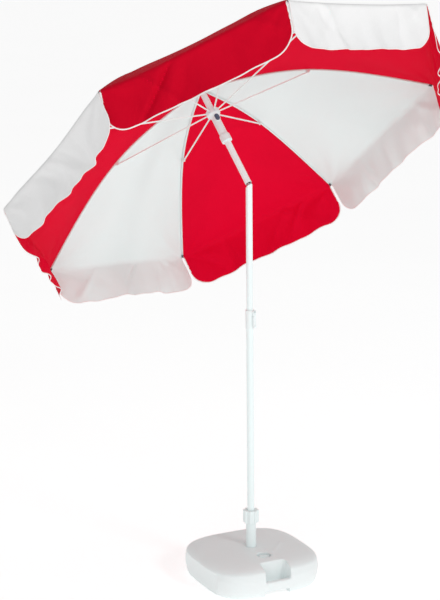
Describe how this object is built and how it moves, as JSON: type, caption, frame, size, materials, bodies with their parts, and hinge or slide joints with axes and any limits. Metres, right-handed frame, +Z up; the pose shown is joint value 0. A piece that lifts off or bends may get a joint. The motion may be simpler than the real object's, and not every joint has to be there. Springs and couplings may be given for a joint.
{
  "type": "beach umbrella",
  "caption": "Beach umbrella with a tilting two-tone scalloped canopy, a folding rib frame, a telescopic pole and a water-filled base with a carrying handle.",
  "frame": {"origin": "middle of the base's underside, on the pole's axis", "axes": "+Z up along the pole, -Y towards the side of the base with the carrying handle"},
  "size_m": [1.834, 1.4628, 2.2996],
  "materials": {
    "white_plastic": "satin",
    "grey_plastic": "satin",
    "blue_plastic": "satin",
    "pole_paint": "gloss",
    "rib_paint": "satin",
    "bare_steel": "satin",
    "zinc": "satin",
    "seal_rubber": "matte",
    "water": "gloss",
    "red_cloth": "matte",
    "white_cloth": "matte"
  },
  "bodies": {
    "base": {"base_tank": "white_plastic", "water_ballast": "water", "base_tube": "white_plastic", "clamp_collet": "white_plastic"},
    "filler": {"filler_cap": "white_plastic", "filler_seal": "seal_rubber"},
    "clamp": {"clamp_nut": "white_plastic"},
    "foot": {"pole_foot": "grey_plastic"},
    "lower": {"lower_pole": "pole_paint", "height_collar": "white_plastic", "lever_pin": "bare_steel"},
    "lever": {"height_lever": "white_plastic"},
    "inner": {"inner_pole": "pole_paint", "inner_plug": "grey_plastic", "tilt_tongue": "zinc"},
    "canopy": {"tilt_fork": "zinc", "tilt_pin": "bare_steel", "tilt_spring": "bare_steel", "canopy_pole": "pole_paint", "crown": "white_plastic", "crown_wire": "bare_steel", "finial": "white_plastic", "panel_1": "white_cloth", "panel_2": "red_cloth", "panel_3": "white_cloth", "panel_4": "red_cloth", "panel_5": "white_cloth", "panel_6": "red_cloth", "panel_7": "white_cloth", "panel_8": "red_cloth"},
    "tilt_push": {"tilt_button": "blue_plastic"},
    "slider": {"runner": "white_plastic", "runner_spring": "bare_steel", "runner_wire": "bare_steel"},
    "slider_push": {"runner_button": "blue_plastic"},
    "rib1": {"rib_1": "rib_paint", "fitting_1": "grey_plastic"},
    "rib2": {"rib_2": "rib_paint", "fitting_2": "grey_plastic"},
    "rib3": {"rib_3": "rib_paint", "fitting_3": "grey_plastic"},
    "rib4": {"rib_4": "rib_paint", "fitting_4": "grey_plastic"},
    "rib5": {"rib_5": "rib_paint", "fitting_5": "grey_plastic"},
    "rib6": {"rib_6": "rib_paint", "fitting_6": "grey_plastic"},
    "rib7": {"rib_7": "rib_paint", "fitting_7": "grey_plastic"},
    "rib8": {"rib_8": "rib_paint", "fitting_8": "grey_plastic"},
    "strut1": {"stretcher_1": "rib_paint"},
    "strut2": {"stretcher_2": "rib_paint"},
    "strut3": {"stretcher_3": "rib_paint"},
    "strut4": {"stretcher_4": "rib_paint"},
    "strut5": {"stretcher_5": "rib_paint"},
    "strut6": {"stretcher_6": "rib_paint"},
    "strut7": {"stretcher_7": "rib_paint"},
    "strut8": {"stretcher_8": "rib_paint"}
  },
  "joints": [
    {"name": "filler_cap_turn", "type": "hinge", "parent": "base", "child": "filler", "pos_m": [0, -0.11, 0.105], "axis": [0, 0, 1], "continuous": true},
    {"name": "clamp_nut_turn", "type": "hinge", "parent": "base", "child": "clamp", "pos_m": [0, 0, 0.25], "axis": [0, 0, 1], "range_deg": [0, 90]},
    {"name": "pole_lift", "type": "slide", "parent": "base", "child": "foot", "axis": [0, 0, 1], "range_m": [0, 0.2]},
    {"name": "pole_turn", "type": "hinge", "parent": "foot", "child": "lower", "pos_m": [0, 0, 0.02], "axis": [0, 0, 1], "continuous": true},
    {"name": "height_lever_open", "type": "hinge", "parent": "lower", "child": "lever", "pos_m": [0.00986, -0.01854, 1.076], "axis": [-0.8829, -0.4695, 0], "range_deg": [0, 110]},
    {"name": "height_slide", "type": "slide", "parent": "lower", "child": "inner", "axis": [0, 0, 1], "range_m": [-0.42, 0.18]},
    {"name": "tilt", "type": "hinge", "parent": "inner", "child": "canopy", "pos_m": [0, 0, 1.576], "axis": [-0.9781, -0.2079, 0], "range_deg": [-41, 0]},
    {"name": "tilt_button_press", "type": "slide", "parent": "canopy", "child": "tilt_push", "axis": [0.1569, -0.7382, 0.6561], "range_m": [0, 0.0025], "stiffness_N_per_m": 800, "springref_m": -0.002, "deforming": ["tilt_spring"]},
    {"name": "runner_slide", "type": "slide", "parent": "canopy", "child": "slider", "axis": [0.1364, -0.6417, -0.7547], "range_m": [0, 0.13]},
    {"name": "runner_button_press", "type": "slide", "parent": "slider", "child": "slider_push", "axis": [0.1871, 0.7648, -0.6165], "range_m": [0, 0.0035], "stiffness_N_per_m": 600, "springref_m": -0.002, "deforming": ["runner_spring"]},
    {"name": "rib_1_fold", "type": "hinge", "parent": "canopy", "child": "rib1", "pos_m": [-0.06308, 0.26863, 1.92251], "axis": [0.9813, -0.017, 0.1918], "range_deg": [0, 9.18]},
    {"name": "rib_2_fold", "type": "hinge", "parent": "canopy", "child": "rib2", "pos_m": [-0.0484, 0.27288, 1.92154], "axis": [0.79, 0.5301, -0.308], "range_deg": [0, 9.18]},
    {"name": "rib_3_fold", "type": "hinge", "parent": "canopy", "child": "rib3", "pos_m": [-0.04073, 0.28362, 1.91379], "axis": [0.1359, 0.7667, -0.6274], "range_deg": [0, 9.18]},
    {"name": "rib_4_fold", "type": "hinge", "parent": "canopy", "child": "rib4", "pos_m": [-0.04456, 0.29457, 1.9038], "axis": [-0.5978, 0.5542, -0.5793], "range_deg": [0, 9.18]},
    {"name": "rib_5_fold", "type": "hinge", "parent": "canopy", "child": "rib5", "pos_m": [-0.05764, 0.2993, 1.89741], "axis": [-0.9813, 0.017, -0.1918], "range_deg": [0, 9.18]},
    {"name": "rib_6_fold", "type": "hinge", "parent": "canopy", "child": "rib6", "pos_m": [-0.07231, 0.29505, 1.89837], "axis": [-0.79, -0.5301, 0.308], "range_deg": [0, 9.18]},
    {"name": "rib_7_fold", "type": "hinge", "parent": "canopy", "child": "rib7", "pos_m": [-0.07998, 0.2843, 1.90612], "axis": [-0.1359, -0.7667, 0.6274], "range_deg": [0, 9.18]},
    {"name": "rib_8_fold", "type": "hinge", "parent": "canopy", "child": "rib8", "pos_m": [-0.07616, 0.27336, 1.91612], "axis": [0.5978, -0.5542, 0.5793], "range_deg": [0, 9.18]},
    {"name": "stretcher_1_fold", "type": "hinge", "parent": "slider", "child": "strut1", "pos_m": [-0.04814, 0.19836, 1.83987], "axis": [-0.9813, 0.017, -0.1918], "range_deg": [0, 8.37]},
    {"name": "stretcher_2_fold", "type": "hinge", "parent": "slider", "child": "strut2", "pos_m": [-0.03347, 0.20261, 1.8389], "axis": [-0.79, -0.5301, 0.308], "range_deg": [0, 8.37]},
    {"name": "stretcher_3_fold", "type": "hinge", "parent": "slider", "child": "strut3", "pos_m": [-0.0258, 0.21335, 1.83116], "axis": [-0.1359, -0.7667, 0.6274], "range_deg": [0, 8.37]},
    {"name": "stretcher_4_fold", "type": "hinge", "parent": "slider", "child": "strut4", "pos_m": [-0.02962, 0.2243, 1.82116], "axis": [0.5978, -0.5542, 0.5793], "range_deg": [0, 8.37]},
    {"name": "stretcher_5_fold", "type": "hinge", "parent": "slider", "child": "strut5", "pos_m": [-0.0427, 0.22903, 1.81477], "axis": [0.9813, -0.017, 0.1918], "range_deg": [0, 8.37]},
    {"name": "stretcher_6_fold", "type": "hinge", "parent": "slider", "child": "strut6", "pos_m": [-0.05738, 0.22478, 1.81573], "axis": [0.79, 0.5301, -0.308], "range_deg": [0, 8.37]},
    {"name": "stretcher_7_fold", "type": "hinge", "parent": "slider", "child": "strut7", "pos_m": [-0.06505, 0.21403, 1.82348], "axis": [0.1359, 0.7667, -0.6274], "range_deg": [0, 8.37]},
    {"name": "stretcher_8_fold", "type": "hinge", "parent": "slider", "child": "strut8", "pos_m": [-0.06122, 0.20309, 1.83348], "axis": [-0.5978, 0.5542, -0.5793], "range_deg": [0, 8.37]}
  ],
  "couplings": [
    {"joint": "rib_1_fold", "follows": "runner_slide", "rad_per_m": 1.2257},
    {"joint": "rib_2_fold", "follows": "runner_slide", "rad_per_m": 1.2257},
    {"joint": "rib_3_fold", "follows": "runner_slide", "rad_per_m": 1.2257},
    {"joint": "rib_4_fold", "follows": "runner_slide", "rad_per_m": 1.2257},
    {"joint": "rib_5_fold", "follows": "runner_slide", "rad_per_m": 1.2257},
    {"joint": "rib_6_fold", "follows": "runner_slide", "rad_per_m": 1.2257},
    {"joint": "rib_7_fold", "follows": "runner_slide", "rad_per_m": 1.2257},
    {"joint": "rib_8_fold", "follows": "runner_slide", "rad_per_m": 1.2257},
    {"joint": "stretcher_1_fold", "follows": "runner_slide", "rad_per_m": 1.1172},
    {"joint": "stretcher_2_fold", "follows": "runner_slide", "rad_per_m": 1.1172},
    {"joint": "stretcher_3_fold", "follows": "runner_slide", "rad_per_m": 1.1172},
    {"joint": "stretcher_4_fold", "follows": "runner_slide", "rad_per_m": 1.1172},
    {"joint": "stretcher_5_fold", "follows": "runner_slide", "rad_per_m": 1.1172},
    {"joint": "stretcher_6_fold", "follows": "runner_slide", "rad_per_m": 1.1172},
    {"joint": "stretcher_7_fold", "follows": "runner_slide", "rad_per_m": 1.1172},
    {"joint": "stretcher_8_fold", "follows": "runner_slide", "rad_per_m": 1.1172}
  ]
}
